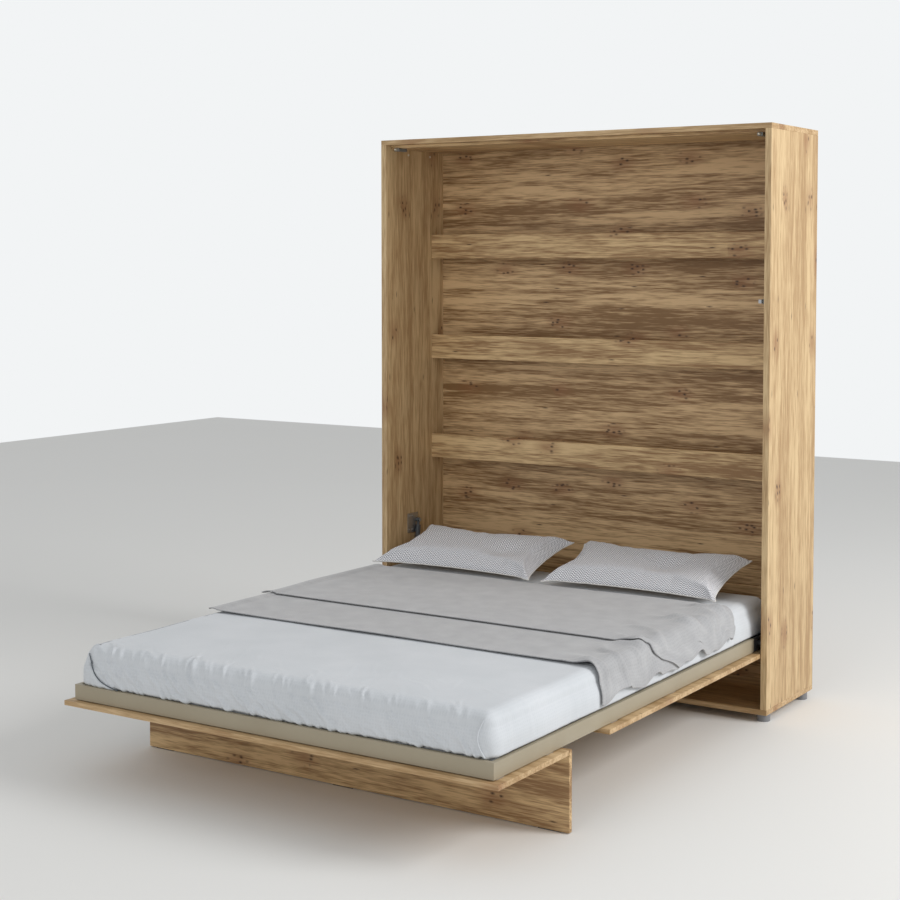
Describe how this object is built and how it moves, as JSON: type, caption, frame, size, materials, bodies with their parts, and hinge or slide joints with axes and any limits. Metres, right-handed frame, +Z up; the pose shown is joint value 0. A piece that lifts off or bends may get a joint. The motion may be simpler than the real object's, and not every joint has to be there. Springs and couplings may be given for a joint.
{
  "type": "murphy wall bed",
  "caption": "Fold-down wall bed in an oak-look cabinet: hinged bed frame with mattress, front boards, folding board leg and gas springs.",
  "frame": {"origin": "middle of the open bed's footprint, on the floor", "axes": "+Z up, +Y towards the wall behind the cabinet, +X to the right of someone who faces the cabinet"},
  "size_m": [1.752, 2.337, 2.262],
  "materials": {
    "oak_board": "matte",
    "oak_back": "matte",
    "slat_birch": "satin",
    "champagne_paint": "satin",
    "dark_paint": "satin",
    "strut_black": "satin",
    "rod_chrome": "polished",
    "zinc_steel": "satin",
    "grey_plastic": "matte",
    "foot_plastic": "matte",
    "pale_plastic": "matte",
    "black_plastic": "matte",
    "felt": "matte",
    "mattress_ticking": "matte",
    "sheet_cotton": "matte",
    "throw_wool": "matte",
    "pillow_cotton": "matte"
  },
  "bodies": {
    "cabinet": {"side_panel_left": "oak_board", "side_panel_right": "oak_board", "top_panel": "oak_board", "bottom_panel": "oak_board", "top_stop_board": "oak_board", "back_panel_top": "oak_back", "back_panel_upper": "oak_back", "back_panel_middle": "oak_back", "back_panel_bottom": "oak_back", "back_joint_profiles": "pale_plastic", "lower_back_board": "oak_board", "cross_rail_top": "oak_board", "cross_rail_middle": "oak_board", "cross_rail_bottom": "oak_board", "rail_angles": "zinc_steel", "bracket_screws": "zinc_steel", "panel_joint_screws": "zinc_steel", "cover_caps": "pale_plastic", "foot_sockets": "zinc_steel", "wall_brackets": "zinc_steel", "pivot_plates": "dark_paint", "pivot_plate_bolts": "zinc_steel", "pivot_bushes": "black_plastic", "strut_brackets": "zinc_steel", "damper_housings": "grey_plastic", "latch_housing": "grey_plastic"},
    "bed": {"frame_rail_left": "champagne_paint", "frame_rail_right": "champagne_paint", "frame_rail_foot": "champagne_paint", "frame_rail_head": "champagne_paint", "pivot_arms": "dark_paint", "pivot_bolts": "zinc_steel", "pivot_spacers": "black_plastic", "cross_bars": "champagne_paint", "centre_beam": "champagne_paint", "slats": "slat_birch", "slat_holders": "black_plastic", "panel_clips": "zinc_steel", "panel_screws": "zinc_steel", "front_strip": "oak_board", "front_main": "oak_board", "mattress": "mattress_ticking", "fitted_sheet": "sheet_cotton", "throw": "throw_wool", "pillow_left": "pillow_cotton", "pillow_right": "pillow_cotton"},
    "leg": {"leg_board": "oak_board", "leg_pins": "zinc_steel", "leg_glides": "felt"},
    "latch_bolt": {"latch_bolt": "zinc_steel"},
    "damper_plunger_left": {"damper_plunger_left": "pale_plastic"},
    "damper_plunger_right": {"damper_plunger_right": "pale_plastic"},
    "gas_cylinder_left": {"gas_cylinder_left": "strut_black"},
    "gas_cylinder_right": {"gas_cylinder_right": "strut_black"},
    "gas_rod_left": {"gas_rod_left": "rod_chrome"},
    "gas_rod_right": {"gas_rod_right": "rod_chrome"},
    "foot_front_left": {"foot_front_left": "foot_plastic"},
    "foot_front_right": {"foot_front_right": "foot_plastic"},
    "foot_rear_left": {"foot_rear_left": "foot_plastic"},
    "foot_rear_right": {"foot_rear_right": "foot_plastic"}
  },
  "joints": [
    {"name": "bed_fold", "type": "hinge", "parent": "cabinet", "child": "bed", "pos_m": [0, 0.7465, 0.287], "axis": [-1, 0, 0], "range_deg": [0, 90]},
    {"name": "leg_fold", "type": "hinge", "parent": "bed", "child": "leg", "pos_m": [0, -0.7525, 0.249], "axis": [1, 0, 0], "range_deg": [0, 90]},
    {"name": "strut_swing_left", "type": "hinge", "parent": "cabinet", "child": "gas_cylinder_left", "pos_m": [-0.8355, 0.9175, 0.594], "axis": [-1, 0, 0], "range_deg": [0, 16.19]},
    {"name": "strut_stroke_left", "type": "slide", "parent": "gas_cylinder_left", "child": "gas_rod_left", "axis": [0, -0.0866, -0.9962], "range_m": [0, 0.172]},
    {"name": "strut_swing_right", "type": "hinge", "parent": "cabinet", "child": "gas_cylinder_right", "pos_m": [0.8355, 0.9175, 0.594], "axis": [-1, 0, 0], "range_deg": [0, 16.19]},
    {"name": "strut_stroke_right", "type": "slide", "parent": "gas_cylinder_right", "child": "gas_rod_right", "axis": [0, -0.0866, -0.9962], "range_m": [0, 0.172]},
    {"name": "damper_press_left", "type": "slide", "parent": "cabinet", "child": "damper_plunger_left", "axis": [0, 1, 0], "range_m": [0, 0.008], "stiffness_N_per_m": 400},
    {"name": "damper_press_right", "type": "slide", "parent": "cabinet", "child": "damper_plunger_right", "axis": [0, 1, 0], "range_m": [0, 0.008], "stiffness_N_per_m": 400},
    {"name": "latch_slide", "type": "slide", "parent": "cabinet", "child": "latch_bolt", "axis": [-1, 0, 0], "range_m": [0, 0.012]},
    {"name": "level_front_left", "type": "slide", "parent": "cabinet", "child": "foot_front_left", "axis": [0, 0, -1], "range_m": [0, 0.012]},
    {"name": "level_front_right", "type": "slide", "parent": "cabinet", "child": "foot_front_right", "axis": [0, 0, -1], "range_m": [0, 0.012]},
    {"name": "level_rear_left", "type": "slide", "parent": "cabinet", "child": "foot_rear_left", "axis": [0, 0, -1], "range_m": [0, 0.012]},
    {"name": "level_rear_right", "type": "slide", "parent": "cabinet", "child": "foot_rear_right", "axis": [0, 0, -1], "range_m": [0, 0.012]}
  ],
  "couplings": [
    {"joint": "strut_swing_left", "follows": "bed_fold", "ratio": 0.17981},
    {"joint": "strut_stroke_left", "follows": "bed_fold", "m_per_rad": 0.10944},
    {"joint": "strut_swing_right", "follows": "bed_fold", "ratio": 0.17981},
    {"joint": "strut_stroke_right", "follows": "bed_fold", "m_per_rad": 0.10944}
  ]
}
